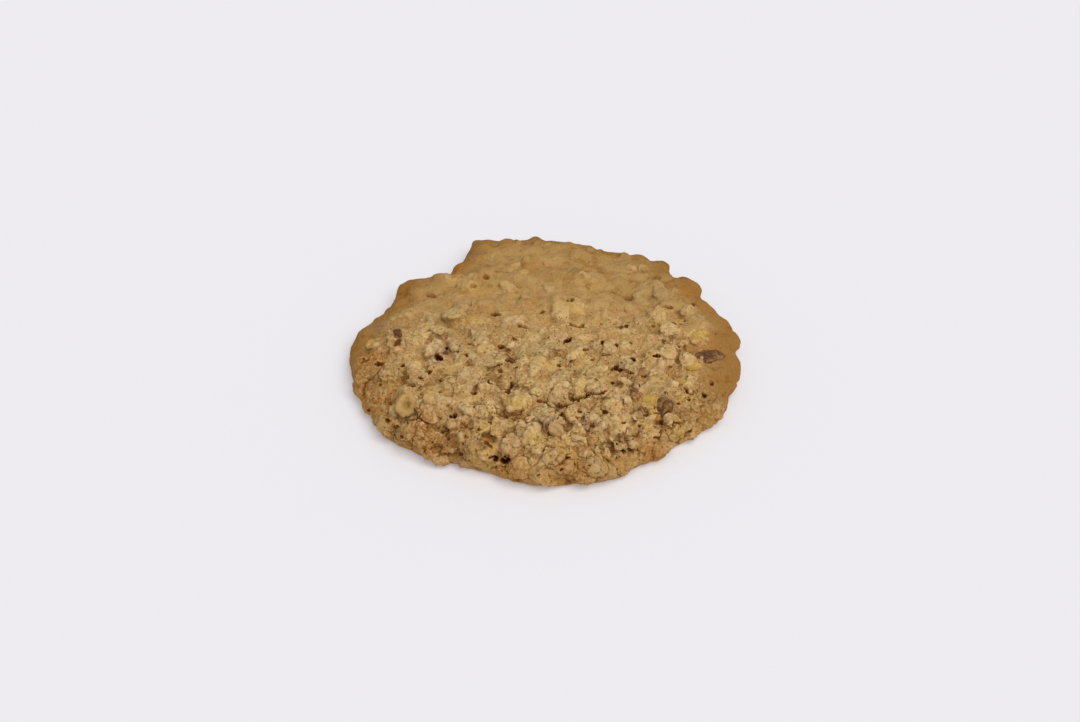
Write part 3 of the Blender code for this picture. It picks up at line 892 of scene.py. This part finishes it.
# Painted shade: the colours of the crust and the oats darken by this share.
def shade_occlusion(piece):
    """How far each point is shut in by the crust around it: 0 on top of a clump, 1 deep in a pit."""
    surface = surface_of(piece)
    rays = []
    for tilt, turn in ((15, 0), (35, 45), (60, 15)):
        flat, high = math.cos(math.radians(tilt)), math.sin(math.radians(tilt))
        for quarter in range(4):
            angle = math.radians(turn + 90 * quarter)
            rays.append(Vector((flat * math.cos(angle), flat * math.sin(angle), high)))
    shares = []
    for vertex in piece.data.vertices:
        start = vertex.co + vertex.normal * 0.15 * MM
        free = [ray for ray in rays if ray.dot(vertex.normal) > 0.25]
        struck = sum(surface.ray_cast(start, ray, 5 * MM)[0] is not None for ray in free)
        shares.append(struck / max(len(free), 4))
    return np.array(shares)


def stained(points, stains):
    """1 in the middle of these stains and 0 outside them."""
    share = np.zeros(len(points))
    for x, y, radius in stains:
        away = np.hypot(points[:, 0] - x, points[:, 1] - y) / radius
        share = np.maximum(share, 1 - ramp(away, 0.35, 1.15))
    return share


def break_open(mesh, pores):
    """Sinks the pits, cracks and pores, and marks the painted shade in them."""
    points, normals = points_of(mesh), vectors_of(mesh, "normal")
    upper = ramp(normals[:, 2], -0.1, 0.25) * ramp(points[:, 2], 1.5, 3.0)
    steep = 0.8 * ramp(out_to_edge(points), 0.84, 1.0)[:, None]
    away = np.hypot(points[:, 0], points[:, 1])[:, None] + 0.001
    outward = (1 - steep) * np.array((0, 0, 1)) + steep * points * (1, 1, 0) / away
    depth, inside = np.maximum(pit_depths(points), pore_depths(points, pores))
    # Painted shade in the pits, on faces turned up, and weaker towards the back.
    mark(mesh, "pit", inside * upper * (1 - 0.55 * ramp(points[:, 1], -8, 12)))
    move_points(mesh, points - outward * (depth * upper)[:, None])


def painted(tree, ground, coats):
    """Lays coats of colour over the ground and returns the last one.

    A coat is a colour, its strength and what it shows through: marks on the mesh, clouds or cells
    of a size in millimetres, each with the values where the coat is thin and where it is full.
    """
    place = put(tree, "ShaderNodeTexCoord").outputs["Object"]
    color = (*ground, 1.0)
    for tone, strength, masks in coats:
        for kind, source, thin, full in masks:
            if kind == "mark":
                value = put(tree, "ShaderNodeAttribute", attribute_name=source).outputs["Fac"]
            elif kind == "cloud":
                value = texture(tree, "Noise", place, source, {"Detail": 2.0})
            else:
                value = texture(tree, "Voronoi", place, source)
            held = put(tree, "ShaderNodeMapRange", {"Value": value, "From Min": thin, "From Max": full})
            strength = maths(tree, "MULTIPLY", held, strength)
        feeds = {"Factor": strength, "A": color, "B": (*tone, 1.0)}
        color = put(tree, "ShaderNodeMix", feeds, data_type="RGBA")
    return color


def new_material(name):
    material = bpy.data.materials.new(name)
    material.use_nodes = True
    return material, material.node_tree, material.node_tree.nodes["Principled BSDF"]


def matte_food(name, ground, coats, depth, rough_from, rough_to):
    """A material with no gloss: its colour, a fine dry bump of this depth and uneven roughness."""
    material, tree, shader = new_material(name)
    color = painted(tree, ground, coats)
    place = put(tree, "ShaderNodeTexCoord").outputs["Object"]
    crumb = texture(tree, "Voronoi", place, 0.8).outputs["Distance"]
    dust = texture(tree, "Noise", place, 0.7, {"Detail": 2.0, "Roughness": 0.7})
    height = maths(tree, "MULTIPLY_ADD", crumb, -0.6, dust)
    bump = put(tree, "ShaderNodeBump", {"Strength": 1.0, "Distance": depth, "Height": height})
    rough = put(tree, "ShaderNodeMapRange", {"Value": dust, "To Min": rough_from, "To Max": rough_to})
    feeds = {
        "Base Color": color,
        "Normal": bump,
        "Roughness": rough,
        "IOR": 1.45,
        "Specular IOR Level": 0.08,
        # Light soaks a millimetre into baked dough, red furthest, which keeps its shadows warm.
        "Subsurface Weight": 0.25,
        "Subsurface Radius": (1.0, 0.4, 0.15),
        "Subsurface Scale": 1.0 * MM,
    }
    feed(tree, shader, feeds)
    return material


def stain_coats(dough):
    """What baking and the nuts have left in the crust, wherever it is dough, crumb or oat."""
    return (
        (dough.yellow, 0.6, (("mark", "yellow", 0.0, 1.0),)),
        (dough.olive, 0.35, (("mark", "grey", 0.0, 1.0),)),
        (dough.rim, 0.8, (("mark", "rim", 0.0, 1.0),)),
        (dough.amber, 0.45, (("mark", "amber", 0.0, 1.0),)),
        (dough.purple, 0.7, (("mark", "purple", 0.0, 1.0), ("cloud", 1.6, 0.3, 0.55))),
    )


def grain_coats(dough, strength):
    """Pale grains, and painted shade in the gaps between them, about 0.5 mm across, drawn coarser than flour
    to show.
    """
    return (
        (dough.flour, 0.35 * strength, (("cloud", 0.6, 0.5, 0.68), ("mark", "coarse", 0.4, 0.9))),
        (dough.crevice_shade, 0.45 * strength, (("cloud", 0.65, 0.45, 0.32), ("mark", "coarse", 0.2, 0.9))),
    )


def crust_material(name, dough, tint):
    """Baked oat dough: dry, crumbly and matte, pale on its lumps with painted highlights on ridges, brown
    where it is thin, and with painted shade where it is deep.
    """
    smooth = ("mark", "coarse", 0.9, 0.3)
    # Painted shade along the edges between the large domes, mostly at the front.
    crease_shade = (("mark", "crease", 0.055, 0.015), ("mark", "front", 0.1, 0.9), ("cloud", 3.0, 0.38, 0.52))
    # Bran specks 0.2 to 0.4 mm across, about one to every 1.4 mm, and painted shade for pinhole dots of 0.3
    # mm.
    bran = (("cells", 1.4, 0.17, 0.1), ("cloud", 3.0, 0.42, 0.56), ("mark", "coarse", 0.1, 0.6))
    pinhole_shade = (("cells", 0.8, 0.26, 0.14), ("cloud", 4.0, 0.44, 0.56), ("mark", "coarse", 0.4, 0.8))
    coats = (
        (dough.gold, 0.75, (("cloud", 7.0, 0.35, 0.65),)),
        (dough.bare, 0.75, (("mark", "coarse", 0.75, 0.2),)),
        (dough.rim, 0.8, (("cloud", 4.5, 0.48, 0.64), smooth)),
        (dough.top, 0.5, (("cloud", 3.0, 0.46, 0.34), smooth)),
        (dough.olive, 0.25, (("cloud", 5.0, 0.45, 0.62),)),
        (dough.rose, 0.25, (("cloud", 9.0, 0.48, 0.62),)),
        (dough.top, 0.45, (("mark", "clump", 0.5, 0.56),)),
        (dough.yellow, 0.35, (("mark", "clump", 0.72, 0.8),)),
        (dough.gold, 0.3, (("mark", "clump", 0.42, 0.36),)),
        (dough.olive, 0.4, (("mark", "clump", 0.22, 0.16),)),
        (dough.yellow, tint, (("mark", "tint", 0.7, 1.0),)),
        (dough.gold, tint * 1.2, (("mark", "tint", 0.3, 0.0),)),
        *stain_coats(dough),
        # Painted shade: the shade brown where the crust around shuts a point in, and where a point lies below
        # those around it.
        (dough.crevice_shade, 0.72, (("mark", "closed", 0.12, 0.7),)),
        (dough.crevice_shade, 0.5, (("mark", "hollow", 0.05 * MM, 0.3 * MM),)),
        (dough.bran_and_shade, 0.75, crease_shade),
        # Painted highlight: pale flour colour on ridges that stand above the crust around them.
        (dough.flour, 0.4, (("mark", "hollow", -0.06 * MM, -0.3 * MM), ("mark", "coarse", 0.4, 0.9))),
        *grain_coats(dough, 1.0),
        # Random darker patches on the smooth crust, in the painted shade's brown.
        (dough.crevice_shade, 0.55, (("cloud", 2.6, 0.58, 0.72), smooth)),
        (dough.bran_and_shade, 0.7, bran),
        (dough.bran_and_shade, 0.9, pinhole_shade),
        # Painted shade in and round the pits, cracks and pores, darkest at their bottoms.
        (dough.crevice_shade, 0.8, (("mark", "pit", 0.0, 0.35),)),
        (dough.pit, 0.94, (("mark", "pit", 0.2, 0.75),)),
    )
    return matte_food(name, dough.top, coats, 0.3 * MM, 0.78, 0.94)


def oat_material(oats, dough):
    """Toasted rolled oat: a pale husk, glazed with dough in places, with painted shade in its folds and where
    the crust shuts it in.
    """
    coats = (
        (dough.gold, 0.7, (("cloud", 1.6, 0.44, 0.6),)),
        (dough.top, 0.7, (("cloud", 3.0, 0.46, 0.58),)),
        (oats.brown, 0.5, (("mark", "tint", 0.5, 0.0),)),
        # Painted shade where the crust around shuts the oat in.
        (dough.crevice_shade, 0.8, (("mark", "closed", 0.2, 0.9),)),
        (oats.middle, 0.8, (("mark", "middle", 0.0, 1.0),)),
        *stain_coats(dough),
        *grain_coats(dough, 0.6),
    )
    return matte_food("Toasted rolled oat", oats.pale, coats, 0.22 * MM, 0.65, 0.85)


def nut_material(nuts, dough):
    """Baked walnut: creamy flesh where it is broken, papery purple-brown skin in folds elsewhere, and painted
    shade down in the folds.
    """
    coats = (
        (dough.gold, 0.5, (("cloud", 1.2, 0.4, 0.65),)),
        (nuts.skin, 0.9, (("mark", "skin", 0.35, 0.65),)),
        (dough.purple, 0.3, (("mark", "skin", 0.4, 0.8), ("cloud", 0.9, 0.5, 0.62))),
        # Painted shade down in the folds of the skin.
        (nuts.fold, 0.8, (("mark", "fold", 0.0, 1.0), ("mark", "skin", 0.2, 0.6))),
        (dough.amber, 0.6, (("mark", "fold", 0.0, 1.0), ("mark", "skin", 0.6, 0.2))),
        (dough.gold, 0.5, (("cloud", 1.3, 0.5, 0.6),)),
    )
    return matte_food("Baked walnut", nuts.flesh, coats, 0.1 * MM, 0.45, 0.7)


def how_laid(seed, spacing, least, most, proud, lean, lowest):
    """The scatter's inputs, with the lean in degrees and the lowest place in millimetres."""
    return {
        "Seed": seed,
        "Spacing": spacing,
        "Least size": least,
        "Most size": most,
        "Least proud": proud[0],
        "Most proud": proud[1],
        "Lean": math.radians(lean),
        "Lowest": lowest * MM,
    }


def scatter_over(piece, keep, shapes, material, values):
    """Scatters the shapes over the piece, keeps its own faces or not, and drops the shapes."""
    tree = bpy.data.node_groups.get("Scatter on skin") or scatter_tree()
    mesh = run_tree(piece, tree, {"Keep skin": keep, "Shapes": shapes, "Material": material, **values})
    drop_shapes(shapes)
    return mesh


def add_baked_oats(skin):
    """Joins the oats of the table to the skin, for the dough to melt them in."""
    dice = random.Random(SEED)
    surface = surface_of(skin)
    made = bmesh.new()
    tint = made.verts.layers.float.new("tint")
    for place in (*OATS, *CLUMPS, CURL_KNOB):
        x, y, length, width, proud, spin = place
        thickness = OAT_THICKNESS + proud
        dent = CURL_DENT if place == CURL_KNOB else 0.0
        vertices = add_oat(made, dice, Vector((length, width, thickness)) * MM, 32, 12, dent)
        lay(vertices, *laid_at(surface, x, y, spin, proud * 0.8 - thickness / 2))
        for vertex in vertices:
            vertex[tint] = 0.5 if place in CLUMPS else 0.95
    made.from_mesh(skin.data)
    written(made, skin.data)


def lumpy_skin(settings, material):
    """The even skin with the oats and broken bits that the dough lies over."""
    skin = even_skin()
    points = points_of(skin.data)
    front = front_share(points, -34, -6)
    out = out_to_edge(points)
    inner = (1 - ramp(out, 0.85, 0.9) * (1 - 0.8 * front)) * (1 - ramp(out, 0.92, 0.96))
    shown = craggy(points) * inner * (0.7 + 0.9 * front) * (1 - 0.7 * ramp(points[:, 1], 12, 24))
    mark(skin.data, "relief", shown * (1 - off_limits(points, 0.3)))
    long, tall, rise = settings.lump_length, 3.2 * MM, settings.lump_rise
    least, most = (long * 0.55, long * 0.45, tall * 0.6), (long, long * 0.75, tall)
    values = how_laid(SEED, settings.lump_spacing, least, most, (rise * 0.4, rise), 11, 2.6)
    mesh = scatter_over(skin, True, lump_shapes("Oat lump", 3, 0.75, 0.2), material, values)
    points = points_of(mesh)
    inner = (1 - ramp(out_to_edge(points), 0.91, 0.95)) * (1 - 0.55 * ramp(points[:, 1], -34, -20))
    mark(mesh, "relief", craggy(points) * inner * (1 - off_limits(points, 0.3)))
    long, tall, rise = settings.bit_length, 1.5 * MM, settings.bit_rise
    least, most = (long * 0.45, long * 0.4, tall * 0.5), (long, long * 0.7, tall)
    values = how_laid(SEED + 1 * NEXT_SEED, settings.bit_spacing, least, most, (rise * 0.2, rise), 20, 1.8)
    scatter_over(skin, True, lump_shapes("Broken bit", 3, 0.7, 0.24), material, values)
    add_baked_oats(skin)
    return skin


def mark_crust(mesh):
    """Marks the dough's stains, its rim, its front and where it is coarse."""
    points = points_of(mesh)
    moved = points + wander(points, 1.6, 0.9)
    for kind, stains in STAINS.items():
        mark(mesh, kind, stained(moved, stains))
    front = front_share(points, -34, -14)
    rim = ramp(out_to_edge(points), 0.72, 0.98) + 0.6 * (1 - ramp(points[:, 2], 0.5, 6.0))
    mark(mesh, "rim", np.clip(rim, 0, 1) * (1 - 0.6 * front))
    mark(mesh, "front", front)
    mark(mesh, "coarse", craggy(points))


class MakeDough(Operator):
    """Make the cookie's dough over the part"""

    bl_idname = "cookie.dough"
    bl_label = "Dough"

    def execute(self, context):
        settings = context.scene.cookie_dough
        noise.seed_set(SEED)
        material = crust_material("Baked oat dough", settings, 0.5)
        skin = lumpy_skin(settings, material)
        dough = new_piece("cookie_dough", skin.data.copy())
        mesh = melt(dough, DOUGH_VOXEL, 4)
        points = points_of(mesh)
        front = front_share(points, -34, -6)
        wall = front * ramp(out_to_edge(points), 0.85, 0.95) * (1 - 0.9 * ramp(points[:, 0], 8, 26))
        relief = 0.22 + (0.78 + 0.45 * front + 0.55 * wall) * craggy(points)
        mark(mesh, "relief", relief * (1 - 0.85 * on_pieces(points, 1.15)))
        mesh = run_tree(dough, relief_tree(), {"Depth": settings.relief})
        break_open(mesh, settings.pores)
        mesh.calc_loop_triangles()
        thin = dough.modifiers.new("Fewer faces", "DECIMATE")
        thin.ratio = min(1.0, MOST_TRIANGLES / len(mesh.loop_triangles))
        mesh = baked(dough)
        keep_in_box(mesh)
        mark(mesh, "closed", shade_occlusion(dough))
        mesh = run_tree(dough, marks_tree(), {"Lumps": skin})
        drop(skin)
        mark_crust(mesh)
        dress(mesh, material)
        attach(dough, "root")
        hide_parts(NODE)
        return {"FINISHED"}


def scattered(name, relief, clear, shapes, material, values):
    """A piece of its own: shapes scattered over the dough, which hands each its own marks."""
    piece = new_piece(name, bpy.data.objects["cookie_dough"].data.copy())
    points = points_of(piece.data)
    shown = relief(points) * (1 - off_limits(points, clear)) * ramp(points[:, 2], 0.8, 1.8)
    mark(piece.data, "relief", shown)
    mesh = scatter_over(piece, False, shapes, material, values)
    keep_in_box(mesh)
    dress(mesh, material)
    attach(piece, "root")
    return piece


def bare_oat_share(points):
    """Where bare oats lie: on the craggy crust, up to the rim, and not on the back."""
    return craggy(points) * front_share(points, -12, 8) * (1 - ramp(out_to_edge(points), 0.84, 0.9))


def crumb_share(points):
    """Where crumbs lie: thick or thin in patches about 5 mm across, and not on the outermost rim."""
    clouds = [noise.noise(Vector(point) / 4) + 0.5 for point in points]
    thick = 0.1 + 0.9 * ramp(np.array(clouds), 0.3, 0.6)
    return craggy(points) * thick * (1 - ramp(out_to_edge(points), 0.9, 0.95))


class MakeOats(Operator):
    """Make the bare oats that lie on the dough"""

    bl_idname = "cookie.oats"
    bl_label = "Oats"

    def execute(self, context):
        settings = context.scene.cookie_oats
        dice = random.Random(SEED)
        noise.seed_set(SEED)
        shapes = shape_set("Rolled oat", 6, lambda made, _: add_oat(made, dice, (1, 1, 1), 24, 9))
        material = oat_material(settings, context.scene.cookie_dough)
        long, tall, proud = settings.length, 1.2 * MM, settings.proud
        least, most = (long * 0.6, long * 0.42, tall * 0.7), (long, long * 0.72, tall)
        values = how_laid(SEED + 2 * NEXT_SEED, settings.spacing, least, most, (proud * 0.1, proud), 12, 2.5)
        oats = scattered("oat_flakes", bare_oat_share, 1.6, shapes, material, values)
        x, y, length, width, lift, spin = WHOLE_OAT
        made = bmesh.new()
        middle, yellow = made.verts.layers.float.new("middle"), made.verts.layers.float.new("yellow")
        size = Vector((length, width, WHOLE_OAT_THICKNESS)) * MM
        vertices = add_oat(made, dice, size, 48, 24, WHOLE_OAT_DENT)
        for vertex in vertices:
            from_middle = vertex.co.xy.length / (length * MM)
            vertex[middle], vertex[yellow] = math.exp(-((from_middle / 0.15) ** 2)), 0.35
        place, turn = laid_at(part_crust(), x, y, spin, lift - 1.0)
        lay(vertices, place, Euler((WHOLE_OAT_LEAN, 0, 0)).to_matrix() @ turn)
        made.from_mesh(oats.data)
        written(made, oats.data).shade_smooth()
        return {"FINISHED"}


class MakeCrumbs(Operator):
    """Make the crumbs that stick to the dough"""

    bl_idname = "cookie.crumbs"
    bl_label = "Crumbs"

    def execute(self, context):
        settings = context.scene.cookie_crumbs
        noise.seed_set(SEED)
        long, proud = settings.length, settings.proud
        least, most = (long * 0.4, long * 0.35, long * 0.3), (long, long * 0.8, long * 0.6)
        values = how_laid(SEED + 3 * NEXT_SEED, settings.spacing, least, most, (proud * 0.2, proud), 60, 1.2)
        material = crust_material("Baked crumbs", context.scene.cookie_dough, 0.4)
        scattered("crumbs", crumb_share, 0.3, lump_shapes("Crumb", 1, 1.0, 0.35), material, values)
        return {"FINISHED"}


class MakeNuts(Operator):
    """Make the walnut pieces that show in the dough"""

    bl_idname = "cookie.nuts"
    bl_label = "Nuts"

    def execute(self, context):
        noise.seed_set(SEED)
        surface = part_crust()
        made = bmesh.new()
        skin, fold = made.verts.layers.float.new("skin"), made.verts.layers.float.new("fold")
        for index, (x, y, length, width, thickness, proud, spin, skin_share) in enumerate(NUTS):
            size = Vector((length, width, thickness)) * MM
            shift = Vector((index * 5.7, 1.3, 9.1))
            piece = bmesh.ops.create_icosphere(made, subdivisions=5, radius=0.5)["verts"]
            for vertex in piece:
                co = vertex.co.copy()
                wrinkle = abs(noise.noise(co * 4.2 + shift))
                lump = noise.noise(co * 2.0 - shift)
                co *= 1 + 0.3 * lump - 0.35 * max(0.0, 0.22 - wrinkle)
                # Marks the grooves between the wrinkles, where the skin gets painted shade.
                vertex[fold] = max(0.0, min(1.0, (0.16 - wrinkle) / 0.16))
                vertex[skin] = skin_share + 0.5 * noise.noise(co * 3 + shift)
                vertex.co = co * size
            lay(piece, *laid_at(surface, x, y, spin, proud - thickness / 2))
        mesh = written(made, bpy.data.meshes.new("walnut_pieces"))
        keep_in_box(mesh)
        dress(mesh, nut_material(context.scene.cookie_nuts, context.scene.cookie_dough))
        nuts = new_piece("walnut_pieces", mesh)
        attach(nuts, "root")
        return {"FINISHED"}


class MakeStage(Operator):
    """Make the floor, the lights and the camera"""

    bl_idname = "cookie.stage"
    bl_label = "Stage"

    def execute(self, context):
        settings, scene = context.scene.cookie_stage, context.scene
        # A hair below the cookie, so that the two flat faces don't share one level.
        half, low = 3.0, -0.05 * MM
        mesh = bpy.data.meshes.new("Floor")
        corners = [(-half, -half, low), (half, -half, low), (half, half, low), (-half, half, low)]
        mesh.from_pydata(corners, [], [(0, 1, 2, 3)])
        floor = new_piece("floor", mesh)
        # Matte white acrylic lit from behind, so that the shadows on it stay as pale as in the photo.
        board, tree, shader = new_material("Backlit white acrylic")
        feeds = {
            "Base Color": (*settings.floor, 1.0),
            "Emission Color": (*settings.glow_color, 1.0),
            "Emission Strength": settings.glow,
            "Roughness": 0.9,
            "Specular IOR Level": 0.0,
        }
        feed(tree, shader, feeds)
        mesh.materials.append(board)
        sun = bpy.data.lights.new("Soft light above", "SUN")
        sun.energy = settings.sun
        sun.angle = math.radians(50)
        sun.color = (1.0, 0.985, 0.965)
        lamp = new_piece("Soft light above", sun)
        lamp.rotation_euler = LIGHT_FROM.to_track_quat("Z", "Y").to_euler()
        world = bpy.data.worlds.new("Light from all round")
        world.use_nodes = True
        sky = world.node_tree.nodes["Background"]
        feed(world.node_tree, sky, {"Color": (0.985, 0.985, 1.0, 1.0), "Strength": settings.sky})
        scene.world = world
        lens = bpy.data.cameras.new("Camera")
        lens.lens = settings.lens
        lens.sensor_width = 36.0
        lens.clip_start = 0.01
        camera = new_piece("Camera", lens)
        back = Vector((0, -math.cos(settings.elevation), math.sin(settings.elevation)))
        camera.location = LOOK_AT * MM + back * settings.distance
        camera.rotation_euler = back.to_track_quat("Z", "Y").to_euler()
        scene.camera = camera
        scene.view_settings.view_transform = "Standard"
        return {"FINISHED"}


class CookiePanel(Panel):
    """The buttons that make the cookie, one for each piece"""

    bl_idname = "COOKIE_PT_pieces"
    bl_label = "Oatmeal cookie"
    bl_space_type = "VIEW_3D"
    bl_region_type = "UI"
    bl_category = "Cookie"

    def draw(self, context):
        for operator, settings in STEPS:
            box = self.layout.box()
            box.operator(operator.bl_idname)
            group = getattr(context.scene, settings)
            for name in group.bl_rna.properties.keys():
                if name not in ("rna_type", "name"):
                    box.prop(group, name)


GROUPS = {
    "cookie_dough": DoughSettings,
    "cookie_oats": OatSettings,
    "cookie_crumbs": CrumbSettings,
    "cookie_nuts": NutSettings,
    "cookie_stage": StageSettings,
}
STEPS = (
    (MakeDough, "cookie_dough"),
    (MakeOats, "cookie_oats"),
    (MakeCrumbs, "cookie_crumbs"),
    (MakeNuts, "cookie_nuts"),
    (MakeStage, "cookie_stage"),
)
CLASSES = (*GROUPS.values(), *(operator for operator, _ in STEPS), CookiePanel)


def register():
    for kind in CLASSES:
        bpy.utils.register_class(kind)
    for name, group in GROUPS.items():
        setattr(bpy.types.Scene, name, PointerProperty(type=group))


def unregister():
    for name in GROUPS:
        delattr(bpy.types.Scene, name)
    for kind in reversed(CLASSES):
        bpy.utils.unregister_class(kind)


def main():
    register()
    bpy.ops.cookie.dough()
    bpy.ops.cookie.oats()
    bpy.ops.cookie.crumbs()
    bpy.ops.cookie.nuts()
    bpy.ops.cookie.stage()


if __name__ == "__main__":
    main()
